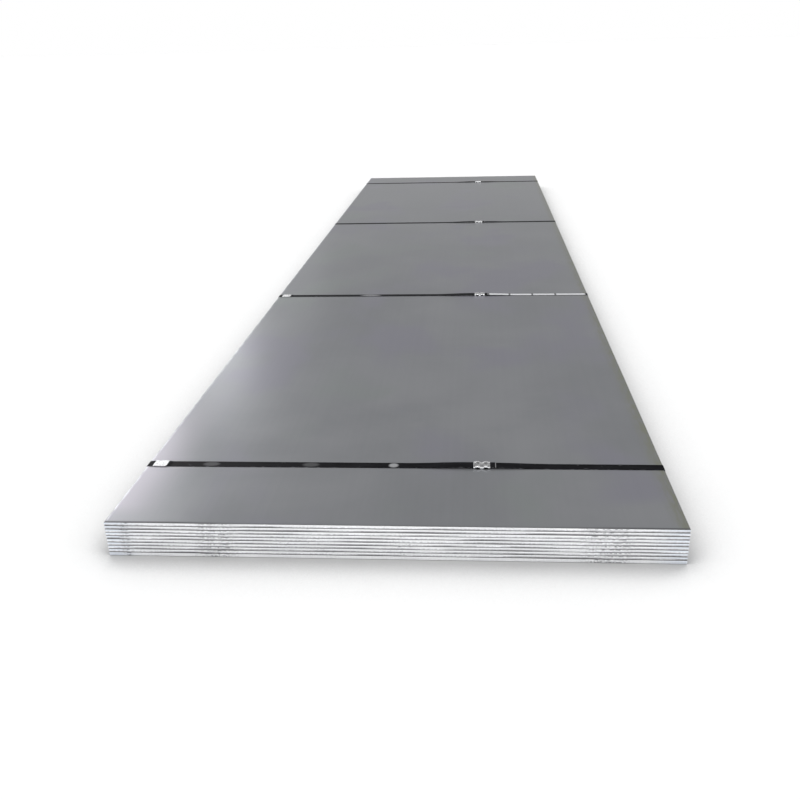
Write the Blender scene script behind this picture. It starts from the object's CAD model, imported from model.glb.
import math

import bpy
from mathutils import Matrix, Vector, noise


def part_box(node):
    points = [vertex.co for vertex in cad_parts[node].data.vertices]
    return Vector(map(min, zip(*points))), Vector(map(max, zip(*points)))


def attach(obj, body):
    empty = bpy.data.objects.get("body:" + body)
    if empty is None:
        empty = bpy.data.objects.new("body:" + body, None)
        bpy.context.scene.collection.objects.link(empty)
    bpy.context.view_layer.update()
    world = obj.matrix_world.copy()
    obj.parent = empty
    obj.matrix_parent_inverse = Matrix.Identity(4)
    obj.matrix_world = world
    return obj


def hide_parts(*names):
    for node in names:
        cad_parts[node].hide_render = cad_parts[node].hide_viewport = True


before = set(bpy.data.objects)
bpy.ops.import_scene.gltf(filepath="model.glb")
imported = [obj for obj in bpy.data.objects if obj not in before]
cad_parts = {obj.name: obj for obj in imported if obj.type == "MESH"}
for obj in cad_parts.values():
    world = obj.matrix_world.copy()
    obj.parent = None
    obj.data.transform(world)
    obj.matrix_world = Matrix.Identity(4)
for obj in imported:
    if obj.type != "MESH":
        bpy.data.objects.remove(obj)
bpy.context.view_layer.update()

MM = 0.001
NODES = sorted(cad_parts)
PLATES = [n for n in NODES if n.startswith("plate_")]
STRAPS = [n for n in NODES if n.startswith("strap_")]
SEALS = [n for n in NODES if n.startswith("seal_")]
CLIPS = [n for n in NODES if n.startswith("edge_clip_")]

# Sizes shared with the solids
ROLLOVER = 1.2 * MM
BURNISH_SHARE = 0.45
FRACTURE_LEAN = 0.5 * MM
BURR_BREAK = 0.3 * MM
STRAP_T = 1.0 * MM
STRAP_BEND = 0.8 * MM
LOWER_TAIL = 12 * MM
UPPER_TAIL = 17 * MM
STRAP_RAMP = 180 * MM
RUN_IN = 3 * MM
SEAL_SHEET = 0.9 * MM
CRIMP_DEPTH = 2.2 * MM
CRIMP_WAVES = 2
CRIMP_FADE = 0.1
CLIP_SHEET = 0.9 * MM
CLIP_RAMP = 12 * MM
CLIP_RUN_IN = 1 * MM
SLIP = 0.05 * MM
CRIMP_LIFT = CRIMP_DEPTH + SEAL_SHEET + 2 * SLIP
LAYER_STEP = STRAP_T + SLIP
CLIP_LIFT = CLIP_SHEET + 2 * SLIP

# Sizes and places read from the solids
BASE_LOW, BASE_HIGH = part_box(PLATES[0])
TOP_LOW, TOP_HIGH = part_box(PLATES[-1])
STRAP_LOW, STRAP_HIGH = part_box(STRAPS[0])
SEAL_LOW, SEAL_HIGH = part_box(SEALS[0])
CLIP_LOW, CLIP_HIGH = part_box(CLIPS[0])
PLATE_T = BASE_HIGH.z - BASE_LOW.z
PLATE_TOP = TOP_HIGH.z
HALF_WIDTH = TOP_HIGH.x
FRONT = TOP_LOW.y
STRAP_W = STRAP_HIGH.y - STRAP_LOW.y
STRAP_Y = (STRAP_HIGH.y + STRAP_LOW.y) / 2
STRAP_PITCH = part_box(STRAPS[1])[0].y - STRAP_LOW.y
SEAL_LEFT = SEAL_LOW.x
SEAL_RIGHT = SEAL_HIGH.x
SEAL_LENGTH = SEAL_RIGHT - SEAL_LEFT
CLIP_LEFT = CLIP_LOW.x
CLIP_RIGHT = CLIP_HIGH.x


# Node helpers

# The range that most values of a noise texture lie in.
NOISE_SPAN = (0.3, 0.7)
# Results of a ramp that rises from nothing to full, and of one that falls from full to nothing.
RISING = (0.0, 1.0)
FADING = (1.0, 0.0)
# Where a Mix node keeps its colour sockets.
MIX_A, MIX_B, MIX_RESULT = 6, 7, 2


def empty_tree(owner):
    """Turns on the nodes of a material or a world, without the ones it starts with."""
    owner.use_nodes = True
    owner.node_tree.nodes.clear()
    return owner.node_tree


def new_material(name):
    mat = bpy.data.materials.new(name)
    tree = empty_tree(mat)
    out = tree.nodes.new("ShaderNodeOutputMaterial")
    bsdf = tree.nodes.new("ShaderNodeBsdfPrincipled")
    tree.links.new(bsdf.outputs["BSDF"], out.inputs["Surface"])
    return mat, tree, bsdf


def put(tree, socket, value):
    """Sets a socket from a number, a tuple or another node's output."""
    if isinstance(value, bpy.types.NodeSocket):
        tree.links.new(value, socket)
    elif isinstance(value, (tuple, list)) and len(value) == 3 and socket.type == "RGBA":
        socket.default_value = (*value, 1.0)
    else:
        socket.default_value = value


def object_coords(tree):
    return tree.nodes.new("ShaderNodeTexCoord").outputs["Object"]


def uv_coords(tree, layer):
    node = tree.nodes.new("ShaderNodeUVMap")
    node.uv_map = layer
    return node.outputs["UV"]


def split(tree, vector):
    node = tree.nodes.new("ShaderNodeSeparateXYZ")
    put(tree, node.inputs["Vector"], vector)
    return node.outputs["X"], node.outputs["Y"], node.outputs["Z"]


def stretched(tree, vector, scale, rotation=(0, 0, 0)):
    node = tree.nodes.new("ShaderNodeMapping")
    put(tree, node.inputs["Vector"], vector)
    node.inputs["Scale"].default_value = scale
    node.inputs["Rotation"].default_value = rotation
    return node.outputs["Vector"]


def noise_tex(tree, vector, scale=1.0, detail=3.0, rough=0.5, distort=0.0):
    node = tree.nodes.new("ShaderNodeTexNoise")
    put(tree, node.inputs["Vector"], vector)
    node.inputs["Scale"].default_value = scale
    node.inputs["Detail"].default_value = detail
    node.inputs["Roughness"].default_value = rough
    node.inputs["Distortion"].default_value = distort
    return node.outputs["Fac"]


def cells(tree, vector, scale):
    """A random grey for each cell of a spangle."""
    node = tree.nodes.new("ShaderNodeTexVoronoi")
    put(tree, node.inputs["Vector"], vector)
    node.inputs["Scale"].default_value = scale
    grey = tree.nodes.new("ShaderNodeRGBToBW")
    tree.links.new(node.outputs["Color"], grey.inputs["Color"])
    return grey.outputs["Val"]


def ramp(tree, value, span, result=RISING, smooth=True):
    """Maps value from the two ends of span to the two ends of result."""
    node = tree.nodes.new("ShaderNodeMapRange")
    node.interpolation_type = "SMOOTHSTEP" if smooth else "LINEAR"
    put(tree, node.inputs["Value"], value)
    node.inputs["From Min"].default_value = span[0]
    node.inputs["From Max"].default_value = span[1]
    node.inputs["To Min"].default_value = result[0]
    node.inputs["To Max"].default_value = result[1]
    return node.outputs["Result"]


def math_node(tree, operation, a, b=0.0):
    node = tree.nodes.new("ShaderNodeMath")
    node.operation = operation
    put(tree, node.inputs[0], a)
    put(tree, node.inputs[1], b)
    return node.outputs["Value"]


def times(tree, a, b):
    return math_node(tree, "MULTIPLY", a, b)


def larger(tree, a, b):
    return math_node(tree, "MAXIMUM", a, b)


def share_of(tree, value, start, length):
    """How far value is past start, in lengths."""
    return math_node(tree, "DIVIDE", math_node(tree, "SUBTRACT", value, start), length)


def off_from(tree, value, place):
    """How far value lies from place, on either side."""
    return math_node(tree, "ABSOLUTE", math_node(tree, "SUBTRACT", value, place))


def between(tree, value, low, high, soft):
    """1 where value lies between low and high, with soft ends."""
    return times(tree, ramp(tree, value, (low - soft, low)), ramp(tree, value, (high, high + soft), FADING))


def mix_colour(tree, fac, a, b, blend="MIX"):
    node = tree.nodes.new("ShaderNodeMix")
    node.data_type = "RGBA"
    node.blend_type = blend
    put(tree, node.inputs["Factor"], fac)
    put(tree, node.inputs[MIX_A], a)
    put(tree, node.inputs[MIX_B], b)
    return node.outputs[MIX_RESULT]


def shaded(tree, colour, shade):
    """The colour times a shade that varies over the surface."""
    return mix_colour(tree, 1.0, colour, shade, "MULTIPLY")


def bump(tree, bsdf, height, strength, distance):
    node = tree.nodes.new("ShaderNodeBump")
    put(tree, node.inputs["Height"], height)
    node.inputs["Strength"].default_value = strength
    node.inputs["Distance"].default_value = distance
    tree.links.new(node.outputs["Normal"], bsdf.inputs["Normal"])


# Material of the rolled faces

# Two greys that drift into each other, and the tints that lie over them.
MILL_GREYS = ((0.206, 0.212, 0.223), (0.238, 0.243, 0.254))
MILL_COOL = (0.22, 0.22, 0.248)
MILL_WARM = (0.22, 0.236, 0.234)
# Marks of handling: every plate has them, and they show on the top one.
# The left margin is wiped bright and the right one is tinted by oil, in x.
WIPED_MARGIN = (-HALF_WIDTH + 0.001, -HALF_WIDTH + 0.009)
WIPED_BRIGHT = (0.56, 0.56, 0.6)
OILY_MARGIN = (HALF_WIDTH - 0.05, HALF_WIDTH)
OIL_OLIVE = (0.2, 0.205, 0.165)
# The near left corner is rubbed a little paler, in x and from a start to an end in y.
RUBBED_SIDE = (-HALF_WIDTH, -HALF_WIDTH + 0.16)
RUBBED_START = (FRONT + 0.02, FRONT + 0.1)
RUBBED_END = (FRONT + 0.3, FRONT + 1.0)
RUBBED_PALE = (0.284, 0.274, 0.3)
# Oil has gathered along the near edge, in y, mostly towards the two corners, in x.
DARK_RIM = (FRONT + 0.005, FRONT + 0.011)
RIM_LEFT = (-0.6, -0.4)
RIM_RIGHT = (0.4, 0.65)
RIM_DARK = (0.075, 0.075, 0.08)
# The wax of each seal has greased the face under it, as distances from the seal's middle.
GREASE_X = (SEAL_LENGTH * 0.42, SEAL_LENGTH * 0.52)
GREASE_Y = (STRAP_W * 0.5, STRAP_W * 0.62)
GREASE_BLACK = (0.012, 0.012, 0.013)


def under_seal(tree, x, y):
    """1 under each seal, with soft rims. The plate is taken in bays with a strap in the middle of each."""
    bay_middle = 0.5
    bays = share_of(tree, y, STRAP_Y - STRAP_PITCH * bay_middle, STRAP_PITCH)
    off_y = times(tree, off_from(tree, math_node(tree, "FRACT", bays), bay_middle), STRAP_PITCH)
    off_x = off_from(tree, x, (SEAL_LEFT + SEAL_RIGHT) / 2)
    return times(tree, ramp(tree, off_x, GREASE_X, FADING), ramp(tree, off_y, GREASE_Y, FADING))


def mill_steel():
    """Rolled face of a plate: dull grey with faint drifts of colour and streaks along the rolling."""
    mat, tree, bsdf = new_material("mill_steel")
    at = object_coords(tree)
    x, y, _ = split(tree, at)
    drift = noise_tex(tree, at, scale=1.7, detail=4.0, rough=0.55, distort=0.4)
    tint = noise_tex(tree, stretched(tree, at, (1.0, 0.7, 1.0), (0, 0, 0.5)), scale=2.6, detail=2.0)
    streaks = noise_tex(tree, stretched(tree, at, (60.0, 0.35, 1.0)))
    patches = noise_tex(tree, stretched(tree, at, (90.0, 16.0, 1.0)), rough=0.6)
    waves = noise_tex(tree, at, scale=1.1, detail=2.0, rough=0.4)

    grey = mix_colour(tree, ramp(tree, drift, span=(0.32, 0.68)), *MILL_GREYS)
    cool = mix_colour(tree, ramp(tree, tint, span=(0.53, 0.68)), grey, MILL_COOL)
    warm = mix_colour(tree, ramp(tree, tint, span=(0.3, 0.44), result=(0.8, 0.0)), cool, MILL_WARM)
    rolled = shaded(tree, warm, ramp(tree, streaks, span=(0.25, 0.75), result=(0.985, 1.015), smooth=False))

    along = times(tree, ramp(tree, y, RUBBED_START, result=(0.2, 1.0)), ramp(tree, y, RUBBED_END, FADING))
    rubbed = times(tree, along, ramp(tree, x, RUBBED_SIDE, FADING))
    handled = mix_colour(tree, rubbed, rolled, RUBBED_PALE)
    cloth = ramp(tree, patches, span=(0.38, 0.6), result=(0.15, 0.8))
    wiped = mix_colour(tree, times(tree, ramp(tree, x, WIPED_MARGIN, FADING), cloth), handled, WIPED_BRIGHT)
    film = ramp(tree, patches, span=(0.35, 0.65), result=(0.35, 1.0))
    oily = mix_colour(tree, times(tree, ramp(tree, x, OILY_MARGIN), film), wiped, OIL_OLIVE)
    left_corner = ramp(tree, x, RIM_LEFT, result=(0.9, 0.2))
    right_corner = ramp(tree, x, RIM_RIGHT, result=(0.2, 0.7))
    rim = times(tree, ramp(tree, y, DARK_RIM, FADING), larger(tree, left_corner, right_corner))
    rimmed = mix_colour(tree, rim, oily, RIM_DARK)
    greased = mix_colour(tree, under_seal(tree, x, y), rimmed, GREASE_BLACK)

    put(tree, bsdf.inputs["Base Color"], greased)
    bsdf.inputs["Metallic"].default_value = 0.45
    bsdf.inputs["Specular IOR Level"].default_value = 0.07
    bsdf.inputs["Specular Tint"].default_value = (0.38, 0.38, 0.39, 1.0)
    put(tree, bsdf.inputs["Roughness"], ramp(tree, drift, NOISE_SPAN, result=(0.28, 0.32)))
    bump(tree, bsdf, waves, strength=1.0, distance=1.0 * MM)
    return mat


# Materials of the sheared edges

BURNISHED_GREYS = ((0.8, 0.81, 0.83), (0.91, 0.915, 0.925))
ROLLED_GREYS = ((0.1, 0.1, 0.1), (0.17, 0.17, 0.17))
TORN_GREY = (0.48, 0.485, 0.5)
LIP_GREY = (0.16, 0.162, 0.168)
STRAP_CUT_GREY = (0.2, 0.2, 0.205)
# How much lighter than the rest of a torn face its clumps are.
CLUMP_LIGHTNESS = 1.5
# Bluish film on the near edges next to the corners, in x off the middle, and how far round them, in y.
FILM_ENDS = (0.64, 0.74)
FILM_DEPTH = (FRONT + 0.02, FRONT + 0.1)
FILM_BLUE = (0.79, 0.83, 0.89)
# Scuffed stretches of the near end, each as its middle and half length in x, the share of that length
# before the marks thin out, and how far they go round the corners, in y.
SMUDGES = ((-0.7, 0.02), (-0.46, 0.075), (0.55, 0.09))
SMUDGE_CORE = 0.25
SMUDGE_DEPTH = (FRONT + 0.1, FRONT + 0.3)
SMUDGE_DARK = (0.09, 0.093, 0.11)
SMUDGE_STRENGTH = 0.95
# The cleanest height of each edge, as a share of the plate's thickness.
CLEAN_HEIGHT = 0.55


def edge_coords(tree, at):
    """Coordinates with one axis along the edge, whichever side of the plate it is on, and one up."""
    x, y, z = split(tree, at)
    node = tree.nodes.new("ShaderNodeCombineXYZ")
    tree.links.new(math_node(tree, "ADD", x, y), node.inputs["X"])
    tree.links.new(z, node.inputs["Z"])
    return node.outputs["Vector"]


def smudge_mask(tree, at):
    """Where the stacked edges are scuffed: broken dark marks in stretches of the near end, few elsewhere."""
    x, y, z = split(tree, at)
    grains = noise_tex(tree, stretched(tree, at, (1.0, 1.0, 1.6)), scale=130.0, rough=0.7, distort=1.2)
    patches = noise_tex(tree, at, scale=9.0, detail=2.0)
    stretches = None
    for middle, half in SMUDGES:
        here = ramp(tree, off_from(tree, x, middle), (SMUDGE_CORE * half, half), FADING)
        stretches = here if stretches is None else larger(tree, stretches, here)
    storey = math_node(tree, "FRACT", share_of(tree, z, STRAP_T, PLATE_T))
    by_gap = ramp(tree, off_from(tree, storey, CLEAN_HEIGHT), span=(0.1, 0.35), result=(0.35, 1.0))
    spread = times(tree, times(tree, stretches, ramp(tree, y, SMUDGE_DEPTH, FADING)), by_gap)
    marks = times(tree, spread, ramp(tree, grains, span=(0.47, 0.55)))
    few = ramp(tree, grains, span=(0.57, 0.64), result=(0.0, 0.75))
    elsewhere = times(tree, ramp(tree, patches, span=(0.56, 0.7)), few)
    return larger(tree, marks, elsewhere)


def burnished_steel():
    """Band that the shear blade wiped: bright, with fine upright drag lines."""
    mat, tree, bsdf = new_material("burnished_steel")
    at = object_coords(tree)
    x, y, _ = split(tree, at)
    lines = noise_tex(tree, stretched(tree, edge_coords(tree, at), (700.0, 1.0, 25.0)), rough=0.65)
    tone = noise_tex(tree, at, scale=6.0)
    bright = mix_colour(tree, ramp(tree, tone, NOISE_SPAN), *BURNISHED_GREYS)
    lined = shaded(tree, bright, ramp(tree, lines, NOISE_SPAN, result=(0.86, 1.05), smooth=False))
    ends = ramp(tree, math_node(tree, "ABSOLUTE", x), FILM_ENDS)
    film = times(tree, ends, ramp(tree, y, FILM_DEPTH, FADING))
    filmed = mix_colour(tree, film, lined, FILM_BLUE, "MULTIPLY")
    dirt = times(tree, smudge_mask(tree, at), SMUDGE_STRENGTH)
    put(tree, bsdf.inputs["Base Color"], mix_colour(tree, dirt, filmed, SMUDGE_DARK))
    bsdf.inputs["Metallic"].default_value = 0.35
    put(tree, bsdf.inputs["Roughness"], ramp(tree, lines, NOISE_SPAN, result=(0.28, 0.42)))
    bump(tree, bsdf, lines, strength=0.2, distance=0.05 * MM)
    return mat


def torn_steel(name, grey):
    """Zone where the steel broke away: grainy, in clumps of the given grey and a lighter one."""
    mat, tree, bsdf = new_material(name)
    at = object_coords(tree)
    edge = edge_coords(tree, at)
    grain = noise_tex(tree, at, scale=900.0, detail=4.0, rough=0.7)
    clumps = noise_tex(tree, stretched(tree, edge, (160.0, 1.0, 60.0)), rough=0.6)
    drift = noise_tex(tree, stretched(tree, edge, (5.0, 1.0, 90.0)), detail=2.0)
    lighter = tuple(CLUMP_LIGHTNESS * c for c in grey)
    clumped = mix_colour(tree, ramp(tree, clumps, NOISE_SPAN), grey, lighter)
    drifting = shaded(tree, clumped, ramp(tree, drift, span=(0.35, 0.65), result=(0.55, 1.3)))
    put(tree, bsdf.inputs["Base Color"], drifting)
    bsdf.inputs["Metallic"].default_value = 0.4
    put(tree, bsdf.inputs["Roughness"], ramp(tree, grain, NOISE_SPAN, result=(0.5, 0.7)))
    bump(tree, bsdf, grain, strength=0.6, distance=0.15 * MM)
    return mat


def rolled_steel():
    """Upper edge that the blade drew down: smooth dark metal that mirrors the room."""
    mat, tree, bsdf = new_material("rolled_steel")
    edge = edge_coords(tree, object_coords(tree))
    patches = noise_tex(tree, stretched(tree, edge, (35.0, 1.0, 400.0)), rough=0.6)
    put(tree, bsdf.inputs["Base Color"], mix_colour(tree, ramp(tree, patches, NOISE_SPAN), *ROLLED_GREYS))
    bsdf.inputs["Metallic"].default_value = 1.0
    put(tree, bsdf.inputs["Roughness"], ramp(tree, patches, NOISE_SPAN, result=(0.3, 0.4)))
    bump(tree, bsdf, patches, strength=0.1, distance=0.05 * MM)
    return mat


# Materials of the straps

STRAP_UV = "strap_metres"
STRAP_BLACKS = ((0.004, 0.004, 0.005), (0.011, 0.011, 0.013))
WORN_BRIGHT = (0.66, 0.67, 0.69)
# How metallic the worn places are, and how they lie in the relief of the wax.
WORN_METAL = 0.6
WORN_DENT = -0.4
# The edges that rub, as distances from the strap's middle line.
RUBBED_EDGE = (STRAP_W * 0.47, STRAP_W * 0.5)
# How far across the strap a length that is rubbed bright reaches, and how soft its sides and ends are.
RUBBED_LANE = (STRAP_W * 0.16, STRAP_W * 0.86)
LANE_SOFT = STRAP_W * 0.12
STRETCH_SOFT = 0.012
# A dark break across it, as distances from the break's middle.
BREAK_SIDES = (0.002, 0.007)
# Worn ovals on the near two straps, each as its middle in x, half length and brightness.
FIRST_SPOTS = ((-0.56, 0.03, 0.1), (-0.264, 0.03, 0.09), (-0.021, 0.017, 0.45))
SECOND_SPOTS = ((-0.295, 0.06, 0.3),)
# The length of the second strap that is rubbed bright, and the dark breaks that cross it, in x.
SECOND_STRETCH = (0.286, 0.733)
SECOND_BREAKS = (0.378, 0.487, 0.597)


def oval(tree, x, across, centre, half_length, half_width):
    """1 at the middle of an oval on the strap, 0 at its rim."""
    along = share_of(tree, x, centre, half_length)
    aside = share_of(tree, across, STRAP_W / 2, half_width)
    squares = math_node(tree, "ADD", times(tree, along, along), times(tree, aside, aside))
    return ramp(tree, squares, span=(0.2, 1.0), result=FADING)


def rubbed_length(tree, x, across, scuff, stretch, breaks):
    """How bright a rubbed length of strap is: full in a lane along it, less at scuffs and breaks."""
    lane = between(tree, across, *RUBBED_LANE, LANE_SOFT)
    bright = times(tree, lane, ramp(tree, scuff, span=(0.3, 0.5), result=(0.6, 1.0)))
    bright = times(tree, bright, between(tree, x, *stretch, STRETCH_SOFT))
    for place in breaks:
        bright = times(tree, bright, ramp(tree, off_from(tree, x, place), BREAK_SIDES, result=(0.2, 1.0)))
    return bright


def strap_black(name, spots=(), stretch=None, breaks=()):
    """Black waxed strap with scuffs and faintly rubbed edges. The wax is worn in the ovals that spots
    lists and, where there is a stretch, along that length, apart from its breaks."""
    mat, tree, bsdf = new_material(name)
    uv = uv_coords(tree, STRAP_UV)
    _, across, _ = split(tree, uv)
    x, _, _ = split(tree, object_coords(tree))
    wax = noise_tex(tree, stretched(tree, uv, (14.0, 60.0, 1.0)), rough=0.6)
    scuff = noise_tex(tree, stretched(tree, uv, (38.0, 240.0, 1.0)), detail=4.0, rough=0.65, distort=0.3)

    edge = ramp(tree, off_from(tree, across, STRAP_W / 2), RUBBED_EDGE)
    rubbed = times(tree, edge, ramp(tree, scuff, span=(0.5, 0.65), result=(0.0, 0.25)))
    worn = larger(tree, rubbed, ramp(tree, scuff, span=(0.66, 0.76), result=(0.0, 0.3)))
    for centre, half_length, level in spots:
        spot = times(tree, oval(tree, x, across, centre, half_length, STRAP_W / 2), level)
        worn = larger(tree, worn, spot)
    if stretch is not None:
        worn = larger(tree, worn, rubbed_length(tree, x, across, scuff, stretch, breaks))

    black = mix_colour(tree, ramp(tree, wax, NOISE_SPAN), *STRAP_BLACKS)
    put(tree, bsdf.inputs["Base Color"], mix_colour(tree, worn, black, WORN_BRIGHT))
    put(tree, bsdf.inputs["Metallic"], times(tree, worn, WORN_METAL))
    put(tree, bsdf.inputs["Roughness"], ramp(tree, wax, NOISE_SPAN, result=(0.36, 0.5)))
    bsdf.inputs["Specular IOR Level"].default_value = 0.01
    relief = math_node(tree, "ADD", wax, times(tree, worn, WORN_DENT))
    bump(tree, bsdf, relief, strength=0.15, distance=0.15 * MM)
    return mat


# Materials of the seals and clips

FOLD_GREYS = ((0.7, 0.705, 0.715), (0.88, 0.885, 0.895))
SEAL_GREYS = ((0.22, 0.223, 0.228), (0.4, 0.403, 0.41))
CLIP_GREYS = ((0.26, 0.262, 0.266), (0.62, 0.623, 0.63))
SMOOTH_ZINC = (0.16, 0.26)
SCUFFED_ZINC = (0.4, 0.55)
ZINC_SPAN = (0.3, 0.65)


def zinc(name, greys, rough=SMOOTH_ZINC):
    """Galvanised sheet with a fine spangle between two greys, and a range of roughness that goes with it."""
    mat, tree, bsdf = new_material(name)
    at = object_coords(tree)
    haze = noise_tex(tree, at, scale=90.0, detail=4.0, rough=0.6)
    sum_of_two = math_node(tree, "ADD", cells(tree, at, scale=220.0), haze)
    tone = times(tree, sum_of_two, 1 / 2)
    put(tree, bsdf.inputs["Base Color"], mix_colour(tree, ramp(tree, tone, ZINC_SPAN), *greys))
    bsdf.inputs["Metallic"].default_value = 0.95
    put(tree, bsdf.inputs["Roughness"], ramp(tree, tone, ZINC_SPAN, result=rough))
    bump(tree, bsdf, haze, strength=0.05, distance=0.05 * MM)
    return mat


# Mesh helpers

# Angles past which an edge is shaded as a sharp one.
PLATE_SHARP_DEG = 30
SHEET_SHARP_DEG = 40


def add_object(name, data):
    obj = bpy.data.objects.new(name, data)
    bpy.context.scene.collection.objects.link(obj)
    return obj


def dressed_piece(replaced, verts, faces, materials, face_slots, sharp_deg):
    """Mesh in place of the solid that it replaces. face_slots gives each face's place in materials."""
    name = "dressed_" + replaced
    mesh = bpy.data.meshes.new(name)
    mesh.from_pydata(verts, [], faces)
    for mat in materials:
        mesh.materials.append(mat)
    mesh.polygons.foreach_set("material_index", face_slots)
    mesh.polygons.foreach_set("use_smooth", [True] * len(mesh.polygons))
    mesh.set_sharp_from_angle(angle=math.radians(sharp_deg))
    mesh.validate()
    mesh.update()
    obj = add_object(name, mesh)
    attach(obj, "root")
    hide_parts(replaced)
    return obj


def add_uvs(obj, layer_name, uvs):
    """Adds a UV layer from one place for each vertex."""
    layer = obj.data.uv_layers.new(name=layer_name)
    for loop in obj.data.loops:
        layer.data[loop.index].uv = uvs[loop.vertex_index]


def smooth01(u):
    """Smooth step from 0 to 1 as u goes from 0 to 1."""
    u = min(1.0, max(0.0, u))
    return (1.0 - math.cos(math.pi * u)) / 2.0


# Plates

MILL, BURNISHED, TORN, LIP, ROLLED = 0, 1, 2, 3, 4
SHORT_STEPS = 150
LONG_STEPS = 240
ROLL_STEPS = 4
# The materials up an edge, from the lower face to the upper one. Oil darkens the lower lips in the gaps
# between plates. The lowest plate's edge is open and clean.
GAP_ROWS = [LIP] * 2 + [TORN] * 2 + [BURNISHED] * 3 + [ROLLED] * (ROLL_STEPS - 1)
LOWEST_ROWS = [ROLLED if slot == ROLLED else BURNISHED for slot in GAP_ROWS]
# Waves along the edge, each as height, wavelength and seed: of the line where the tear starts, of the
# lip below it, of small nicks and of the whole edge.
TEAR_WAVES = ((0.55 * MM, 0.21, 0), (0.6 * MM, 0.055, 40))
LIP_WAVE = (0.7 * MM, 0.08, 60)
NICK_WAVE = (0.12 * MM, 0.017, 80)
SWAY_WAVE = (0.2 * MM, 0.33, 120)
# Steps in the noise from one plate or seed to the next, so that no two waves are alike.
ROW_STEP = (7.31, 1.7)
# The lip's mean height, and the small step at the upper end of the torn zone.
LIP_HEIGHT = 1.7 * MM
TEAR_INSET = 0.1 * MM
TEAR_STEP = 0.5 * MM
# How much of the lean and of the nicks the lip has, and the lean halfway up the torn zone.
LIP_LEAN = 0.8
LIP_NICK = 1.5
HALFWAY_LEAN = 0.35


def wave(index, s, height, wavelength, seed):
    """Smooth noise of a height along a length s, different on each plate."""
    row = index + seed
    return height * noise.noise(Vector((s / wavelength, row * ROW_STEP[0], row * ROW_STEP[1])))


def perimeter(low, high):
    """Stations round the plate: point on the edge, way in, and length walked."""
    corners = [(low.x, low.y), (high.x, low.y), (high.x, high.y), (low.x, high.y)]
    inward = [(0, 1), (-1, 0), (0, -1), (1, 0)]
    stations = []
    walked = 0.0
    for side in range(4):
        ax, ay = corners[side]
        bx, by = corners[(side + 1) % 4]
        steps = SHORT_STEPS if side % 2 == 0 else LONG_STEPS
        length = math.hypot(bx - ax, by - ay)
        for k in range(steps):
            u = k / steps
            point = Vector((ax + (bx - ax) * u, ay + (by - ay) * u, 0))
            way = Vector((*inward[side], 0))
            if k == 0:
                way = way + Vector((*inward[side - 1], 0))
            stations.append((point, way, walked + length * u))
        walked += length
    return stations


def edge_rows(index, thick, s):
    """Section of a plate's edge at a length s, from its lower face to its upper one: (inset, height)."""
    tear = thick * (1 - BURNISH_SHARE) - ROLLOVER / 2 + sum(wave(index, s, *w) for w in TEAR_WAVES)
    lip = LIP_HEIGHT + wave(index, s, *LIP_WAVE)
    nick = NICK_WAVE[0] + wave(index, s, *NICK_WAVE)
    sway = SWAY_WAVE[0] + wave(index, s, *SWAY_WAVE)
    rows = [
        (FRACTURE_LEAN + BURR_BREAK + nick, 0.0),
        (FRACTURE_LEAN + nick, BURR_BREAK),
        (FRACTURE_LEAN * LIP_LEAN + nick * LIP_NICK, lip),
        (FRACTURE_LEAN * HALFWAY_LEAN + nick, (lip + tear) / 2),
        (TEAR_INSET, tear),
        (0.0, tear + TEAR_STEP),
        (0.0, thick - ROLLOVER),
    ]
    for k in range(1, ROLL_STEPS + 1):
        a = math.pi / 2 * k / ROLL_STEPS
        rows.append((ROLLOVER * (1 - math.cos(a)), thick - ROLLOVER * (1 - math.sin(a))))
    return [(inset + sway, height) for inset, height in rows]


def build_plate(index, node, materials):
    """Plate with a sheared edge: rows of faces all round it, and its two rolled faces."""
    low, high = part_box(node)
    rings = []
    for point, way, s in perimeter(low, high):
        rows = edge_rows(index, high.z - low.z, s)
        rings.append([point + way * inset + Vector((0, 0, low.z + height)) for inset, height in rows])
    row_slots = LOWEST_ROWS if index == 0 else GAP_ROWS
    count = len(rings)
    depth = len(rings[0])
    verts = [v for ring in rings for v in ring]
    faces = []
    slots = []
    for i in range(count):
        j = (i + 1) % count
        for k in range(depth - 1):
            faces.append((i * depth + k, j * depth + k, j * depth + k + 1, i * depth + k + 1))
            slots.append(row_slots[k])
    upper_face = tuple(i * depth + depth - 1 for i in range(count))
    lower_face = tuple(i * depth for i in reversed(range(count)))
    faces += [upper_face, lower_face]
    slots += [MILL, MILL]
    plate = dressed_piece(node, verts, faces, materials, slots, PLATE_SHARP_DEG)
    # The two rolled faces come last. Flat shading keeps the slopes of their rims from spreading over them.
    for face in plate.data.polygons[-2:]:
        face.use_smooth = False


# Straps

BLACK, CUT = 0, 1
BEND_STEPS = 6
RAMP_STEPS = 20
CRIMP_STEPS = 96
STRAIGHT_STEP = 0.03
ACROSS = 16
EDGE_ROUND = 0.22 * MM
CUT_LENGTH = 2.5 * MM
# Least upward part of the way out of the stack on the strap's upper runs.
FACING_UP = 0.99
# Distance between the marks of one strap and the next in the noise.
UV_STEP = 11.0


def crimp(u, y):
    """Height of the crimp at a share u of the seal's length and a distance y off its middle line."""
    fade = smooth01(min(1.0, u / CRIMP_FADE, (1 - u) / CRIMP_FADE))
    spread = min(1.0, (2 * y / STRAP_W) ** 2)
    return -CRIMP_DEPTH * fade * spread * math.cos(2 * math.pi * CRIMP_WAVES * u)


def run_points(x0, h0, x1, h1, steps):
    """Points of a smooth climb from one height to another: (x, height)."""
    return [(x0 + (x1 - x0) * k / steps, h0 + (h1 - h0) * smooth01(k / steps)) for k in range(steps + 1)]


def straight(x0, x1, h):
    """Points of a level run: (x, height)."""
    steps = max(1, round(abs(x1 - x0) / STRAIGHT_STEP))
    return [(x0 + (x1 - x0) * k / steps, h) for k in range(steps + 1)]


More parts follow.
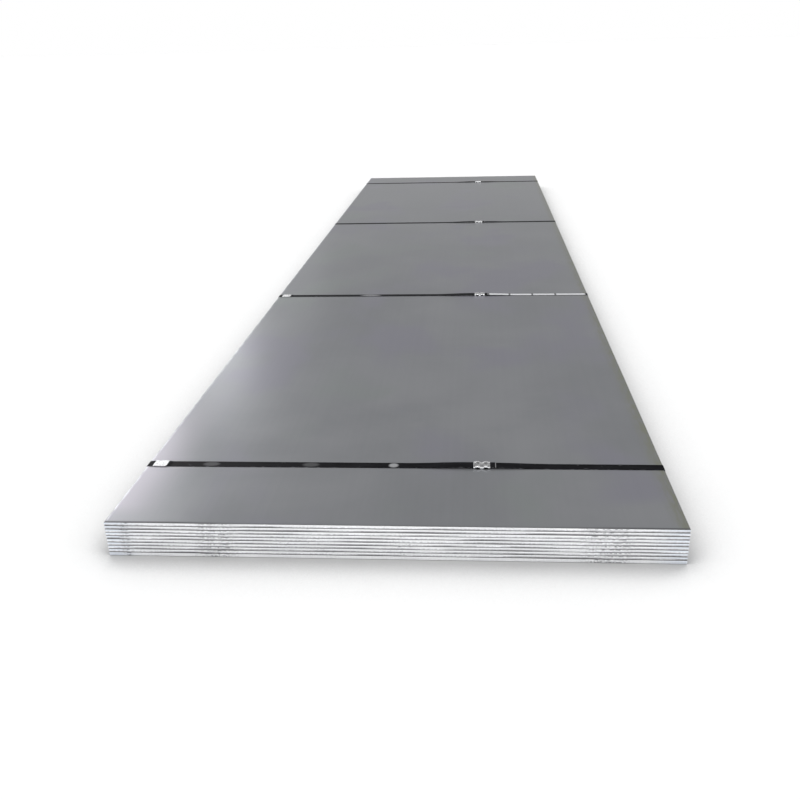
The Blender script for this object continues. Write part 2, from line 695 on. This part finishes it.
def bend(cx, cz, start_deg):
    """Quarter turn of the strap's inner face: points and outward ways."""
    out = []
    for k in range(BEND_STEPS + 1):
        a = math.radians(start_deg - 90 * k / BEND_STEPS)
        way = Vector((math.cos(a), 0, math.sin(a)))
        out.append((Vector((cx, 0, cz)) + way * STRAP_BEND, way))
    return out


def lower_run(inner):
    """The strap's lower end, through the seal and down its ramp to the right bend: (x, height)."""
    start = SEAL_LEFT - LOWER_TAIL
    ramp_start = SEAL_RIGHT + RUN_IN
    run = straight(start, start + CUT_LENGTH, CRIMP_LIFT)
    run += straight(start + CUT_LENGTH, SEAL_LEFT, CRIMP_LIFT)[1:]
    run += run_points(SEAL_LEFT, CRIMP_LIFT, SEAL_RIGHT, CRIMP_LIFT, CRIMP_STEPS)[1:]
    run += run_points(ramp_start, CRIMP_LIFT, ramp_start + STRAP_RAMP, 0, RAMP_STEPS)
    run += straight(ramp_start + STRAP_RAMP, inner, 0)[1:-1]
    return run


def upper_run(inner, has_clip):
    """From the left bend over the clip, if there is one, and up its ramp through the seal: (x, height)."""
    ramp_start = SEAL_LEFT - LOWER_TAIL - RUN_IN - STRAP_RAMP
    high = CRIMP_LIFT + LAYER_STEP
    end = SEAL_RIGHT + UPPER_TAIL
    run = []
    if has_clip:
        clip_start = CLIP_LEFT - CLIP_RUN_IN
        clip_end = CLIP_RIGHT + RUN_IN
        run += run_points(-inner, 0, clip_start, CLIP_LIFT, RAMP_STEPS)[1:]
        run += straight(clip_start, clip_end, CLIP_LIFT)[1:-1]
        run += run_points(clip_end, CLIP_LIFT, clip_end + CLIP_RAMP, 0, RAMP_STEPS)
        run += straight(clip_end + CLIP_RAMP, ramp_start, 0)[1:-1]
    else:
        run += straight(-inner, ramp_start, 0)[1:-1]
    run += run_points(ramp_start, 0, ramp_start + STRAP_RAMP, high, RAMP_STEPS)
    run += straight(ramp_start + STRAP_RAMP, SEAL_LEFT, high)[1:-1]
    run += run_points(SEAL_LEFT, high, SEAL_RIGHT, high, CRIMP_STEPS)
    run += straight(SEAL_RIGHT, end - CUT_LENGTH, high)[1:]
    run += straight(end - CUT_LENGTH, end, high)[1:]
    return run


def strap_path(has_clip):
    """The strap's inner face from its lower end round the stack to its upper end: (point, outward way)."""
    up = Vector((0, 0, 1))
    inner = HALF_WIDTH - STRAP_BEND
    top_bend = PLATE_TOP - STRAP_BEND
    low_bend = STRAP_T + STRAP_BEND
    path = [(Vector((x, 0, PLATE_TOP + h)), up) for x, h in lower_run(inner)]
    path += bend(inner, top_bend, 90)
    path += bend(inner, low_bend, 0)
    path += [(Vector((x, 0, STRAP_T)), -up) for x, _ in straight(inner, -inner, 0)[1:-1]]
    path += bend(-inner, low_bend, -90)
    path += bend(-inner, top_bend, 180)
    path += [(Vector((x, 0, PLATE_TOP + h)), up) for x, h in upper_run(inner, has_clip)]
    return path


def strap_ring():
    """Section of the strap with softened edges: (y, share of its thickness)."""
    half = STRAP_W / 2
    ys = [-half + STRAP_W * k / ACROSS for k in range(ACROSS + 1)]
    lower = [(y, 0.0) for y in ys]
    upper = [(y, 1.0) for y in reversed(ys)]
    lower[0] = (-half + EDGE_ROUND, 0.0)
    lower[-1] = (half - EDGE_ROUND, 0.0)
    upper[0] = (half - EDGE_ROUND, 1.0)
    upper[-1] = (-half + EDGE_ROUND, 1.0)
    rim = EDGE_ROUND / STRAP_T
    return lower + [(half, rim), (half, 1 - rim)] + upper + [(-half, 1 - rim), (-half, rim)]


def build_strap(index, node, materials):
    """Strap swept along its path; its two sheared ends take the second material."""
    low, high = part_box(node)
    middle = (low.y + high.y) / 2
    path = strap_path(index < len(CLIPS))
    ring = strap_ring()
    n = len(ring)
    verts = []
    uvs = []
    walked = 0.0
    previous = path[0][0]
    for point, way in path:
        walked += (point - previous).length
        previous = point
        in_crimp = way.z > FACING_UP and SEAL_LEFT <= point.x <= SEAL_RIGHT
        u = (point.x - SEAL_LEFT) / SEAL_LENGTH
        for y, share in ring:
            lift = crimp(u, y) if in_crimp else 0.0
            verts.append(point + way * (share * STRAP_T) + Vector((0, middle + y, lift)))
            uvs.append((walked + index * UV_STEP, y + STRAP_W / 2))
    faces = []
    slots = []
    spans = len(path) - 1
    for i in range(spans):
        for k in range(n):
            k2 = (k + 1) % n
            faces.append((i * n + k, i * n + k2, (i + 1) * n + k2, (i + 1) * n + k))
            slots.append(CUT if i in (0, spans - 1) else BLACK)
    lower_end = tuple(reversed(range(n)))
    upper_end = tuple(spans * n + k for k in range(n))
    faces += [lower_end, upper_end]
    slots += [CUT, CUT]
    strap = dressed_piece(node, verts, faces, materials, slots, SHEET_SHARP_DEG)
    add_uvs(strap, STRAP_UV, uvs)


# Seals and clips

FACE, FOLD = 0, 1
FOLD_STEPS = 5
INNER_FOLD = 0.12 * MM
TOP_STEPS = 7
FLAP_STEPS = 6
FLAP_TIP = 0.375
CLIP_STEPS = 24


def sleeve_line(inside, sheet, outer):
    """Line of a sheet folded round the strap, from one flap's tip over the top to the other's: (y, z)."""
    half = STRAP_W / 2
    off = SLIP + (sheet if outer else 0.0)
    r = sheet if outer else INNER_FOLD
    side = half + off
    high = inside + off
    low = -off
    tip = FLAP_TIP * half
    quarter = [math.pi / 2 * k / FOLD_STEPS for k in range(FOLD_STEPS + 1)]
    line = [(tip + (side - r - tip) * k / FLAP_STEPS, low) for k in range(FLAP_STEPS)]
    line += [(side - r + r * math.sin(a), low + r - r * math.cos(a)) for a in quarter]
    line += [(side - r + r * math.cos(a), high - r + r * math.sin(a)) for a in quarter]
    line += [((side - r) * (1 - k / TOP_STEPS), high) for k in range(1, TOP_STEPS + 1)]
    return line + [(-y, z) for y, z in reversed(line[:-1])]


def build_sleeve(node, inside, sheet, base_z, wavy, steps, materials):
    """Sheet folded round the strap; its folds take the second material."""
    low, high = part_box(node)
    middle = (low.y + high.y) / 2
    ring = sleeve_line(inside, sheet, True) + list(reversed(sleeve_line(inside, sheet, False)))
    n = len(ring)
    half = n // 2
    folds = range(FLAP_STEPS, FLAP_STEPS + 2 * FOLD_STEPS + 2)
    mirrored_folds = range(half - 2 - folds[-1], half - 1 - folds[0])
    verts = []
    for i in range(steps + 1):
        u = i / steps
        x = low.x + (high.x - low.x) * u
        for y, z in ring:
            lift = crimp(u, y) if wavy else 0.0
            verts.append(Vector((x, middle + y, base_z + z + lift)))
    faces = []
    slots = []
    for i in range(steps):
        for k in range(n):
            k2 = (k + 1) % n
            faces.append((i * n + k2, i * n + k, (i + 1) * n + k, (i + 1) * n + k2))
            slots.append(FOLD if k in folds or k in mirrored_folds else FACE)
    last = steps * n
    for k in range(half - 1):
        a, b, c, d = k, k + 1, n - 2 - k, n - 1 - k
        faces.append((a, b, c, d))
        faces.append((last + d, last + c, last + b, last + a))
        slots += [FOLD, FOLD]
    dressed_piece(node, verts, faces, materials, slots, SHEET_SHARP_DEG)


# Stage, light and camera

WHITE = (1.0, 1.0, 1.0, 1.0)
# The floor: its half length, its white, and how far and how deep the soft shadow round the stack goes.
FLOOR_HALF = 400.0
FLOOR_WHITE = 0.98
SHADOW_REACH = 0.5
SHADOW_RISE = (0.6, 0.975)
SHADOW_DEPTH = 0.53
SHADOW_SAMPLES = 8
# The pale room: its light, and how metal sees it, white up to the lower of two heights on the sky
# sphere and grey from the upper one on.
ROOM_LIGHT = 0.6
CEILING_RISE = (0.22, 0.75)
CEILING_GREY = 0.45
# Soft distant lights, each as the way to it, its width in degrees and its strength.
SUNS = {
    "overhead": ((0.0, 0.1, 1.0), 60, 1.15),
    "front_fill": ((0.1, -1.0, 0.2), 40, 1.6),
}
# Windows to the left that the steel mirrors: where they stand, in x, and each one's range in y, range
# in z and brightness.
CARD_X = -2.2
WINDOWS = {
    "near_window": ((-1.0, 1.3), (0.9, 1.8), 9.0),
    "middle_window": ((1.8, 3.4), (0.9, 1.95), 8.8),
    "far_window": ((3.4, 8.0), (1.2, 2.5), 1.05),
}
# The camera: where it stands, its turn, tilt and roll in degrees, and its lens and sideways shift in
# pixels of the picture.
CAMERA_AT = (0.2159, -4.8102, 1.2253)
CAMERA_TURN = (-4.3, 23.125, 1.551)
PICTURE_PX = 800
FOCAL_PX = 833.2
SHIFT_PX = -18
SENSOR_MM = 36.0
VIEW_END = 1000.0


def make_floor():
    """Pale floor that the stack stands on, darker where the stack takes its light."""
    mesh = bpy.data.meshes.new("floor")
    half = FLOOR_HALF
    corners = [(-half, -half, 0), (half, -half, 0), (half, half, 0), (-half, half, 0)]
    mesh.from_pydata(corners, [], [(0, 1, 2, 3)])
    mat = bpy.data.materials.new("floor_white")
    tree = empty_tree(mat)
    out = tree.nodes.new("ShaderNodeOutputMaterial")
    diffuse = tree.nodes.new("ShaderNodeBsdfDiffuse")
    open_sky = tree.nodes.new("ShaderNodeAmbientOcclusion")
    open_sky.samples = SHADOW_SAMPLES
    open_sky.inputs["Distance"].default_value = SHADOW_REACH
    white = ramp(tree, open_sky.outputs["AO"], SHADOW_RISE, (SHADOW_DEPTH * FLOOR_WHITE, FLOOR_WHITE))
    tree.links.new(white, diffuse.inputs["Color"])
    tree.links.new(diffuse.outputs["BSDF"], out.inputs["Surface"])
    mesh.materials.append(mat)
    obj = add_object("floor", mesh)


def background(tree):
    node = tree.nodes.new("ShaderNodeBackground")
    node.inputs["Color"].default_value = WHITE
    return node


def make_world():
    """Even light for the object, and a room that is white to the camera and grey above in the metal."""
    world = bpy.data.worlds.new("pale_room")
    tree = empty_tree(world)
    out = tree.nodes.new("ShaderNodeOutputWorld")
    light = background(tree)
    light.inputs["Strength"].default_value = ROOM_LIGHT
    shown = background(tree)
    ray = tree.nodes.new("ShaderNodeLightPath")
    by_camera = ray.outputs["Is Camera Ray"]
    by_metal = larger(tree, ray.outputs["Is Glossy Ray"], ray.outputs["Is Transmission Ray"])
    _, _, height = split(tree, tree.nodes.new("ShaderNodeTexCoord").outputs["Generated"])
    room = ramp(tree, height, CEILING_RISE, (1.0, CEILING_GREY))
    tree.links.new(larger(tree, room, by_camera), shown.inputs["Strength"])
    mix = tree.nodes.new("ShaderNodeMixShader")
    tree.links.new(larger(tree, by_camera, by_metal), mix.inputs["Fac"])
    tree.links.new(light.outputs["Background"], mix.inputs[1])
    tree.links.new(shown.outputs["Background"], mix.inputs[2])
    tree.links.new(mix.outputs["Shader"], out.inputs["Surface"])
    bpy.context.scene.world = world


def soft_sun(name, towards, angle_deg, strength):
    """Distant soft light that lights the whole floor evenly; towards points from the object to the light."""
    lamp = bpy.data.lights.new(name, "SUN")
    lamp.angle = math.radians(angle_deg)
    lamp.energy = strength
    obj = add_object(name, lamp)
    obj.rotation_euler = Vector(towards).to_track_quat("Z", "Y").to_euler()


def window_card(name, y_range, z_range, radiance):
    """Bright upright card to the left that shows only as a sheen on glossy surfaces."""
    lamp = bpy.data.lights.new(name, "AREA")
    lamp.shape = "RECTANGLE"
    lamp.size = y_range[1] - y_range[0]
    lamp.size_y = z_range[1] - z_range[0]
    lamp.energy = radiance * math.pi * lamp.size * lamp.size_y
    obj = add_object(name, lamp)
    obj.location = (CARD_X, sum(y_range) / 2, sum(z_range) / 2)
    obj.rotation_euler = Vector((1, 0, 0)).to_track_quat("-Z", "Y").to_euler()
    obj.visible_camera = False
    obj.visible_diffuse = False


def make_camera():
    """Camera in front of the near end. Its axes are worked out from its turn and tilt, and then rolled."""
    yaw, pitch, roll = (math.radians(a) for a in CAMERA_TURN)
    ahead = Vector((math.sin(yaw) * math.cos(pitch), math.cos(yaw) * math.cos(pitch), -math.sin(pitch)))
    right = Vector((math.cos(yaw), -math.sin(yaw), 0))
    down = ahead.cross(right)
    across = right * math.cos(roll) + down * math.sin(roll)
    below = down * math.cos(roll) - right * math.sin(roll)
    turn = Matrix((across, -below, -ahead)).transposed()
    data = bpy.data.cameras.new("camera")
    data.sensor_width = SENSOR_MM
    data.lens = SENSOR_MM * FOCAL_PX / PICTURE_PX
    data.shift_x = SHIFT_PX / PICTURE_PX
    data.clip_end = VIEW_END
    obj = add_object("camera", data)
    obj.matrix_world = Matrix.Translation(CAMERA_AT) @ turn.to_4x4()
    bpy.context.scene.camera = obj


# Make the pieces

plate_materials = [
    mill_steel(),
    burnished_steel(),
    torn_steel("torn_steel", TORN_GREY),
    torn_steel("lip_steel", LIP_GREY),
    rolled_steel(),
]
for index, node in enumerate(PLATES):
    build_plate(index, node, plate_materials)

plain_strap = strap_black("strap_black")
marked_straps = {
    STRAPS[0]: strap_black("strap_black_spots", FIRST_SPOTS),
    STRAPS[1]: strap_black("strap_black_rubbed", SECOND_SPOTS, SECOND_STRETCH, SECOND_BREAKS),
}
strap_cut = torn_steel("strap_cut", STRAP_CUT_GREY)
for index, node in enumerate(STRAPS):
    build_strap(index, node, [marked_straps.get(node, plain_strap), strap_cut])

seal_materials = [zinc("zinc_dull", SEAL_GREYS), zinc("zinc_fold", FOLD_GREYS)]
clip_materials = [zinc("zinc_scuffed", CLIP_GREYS, SCUFFED_ZINC)] * 2
seal_base = PLATE_TOP + CRIMP_LIFT
clip_base = PLATE_TOP + CLIP_LIFT
for node in SEALS:
    build_sleeve(node, STRAP_T + LAYER_STEP, SEAL_SHEET, seal_base, True, CRIMP_STEPS, seal_materials)
for node in CLIPS:
    build_sleeve(node, STRAP_T, CLIP_SHEET, clip_base, False, CLIP_STEPS, clip_materials)

# Make the stage, light and camera

make_floor()
make_world()
for name, (towards, angle_deg, strength) in SUNS.items():
    soft_sun(name, towards, angle_deg, strength)
for name, (y_range, z_range, radiance) in WINDOWS.items():
    window_card(name, y_range, z_range, radiance)
make_camera()
bpy.context.scene.view_settings.view_transform = "Standard"
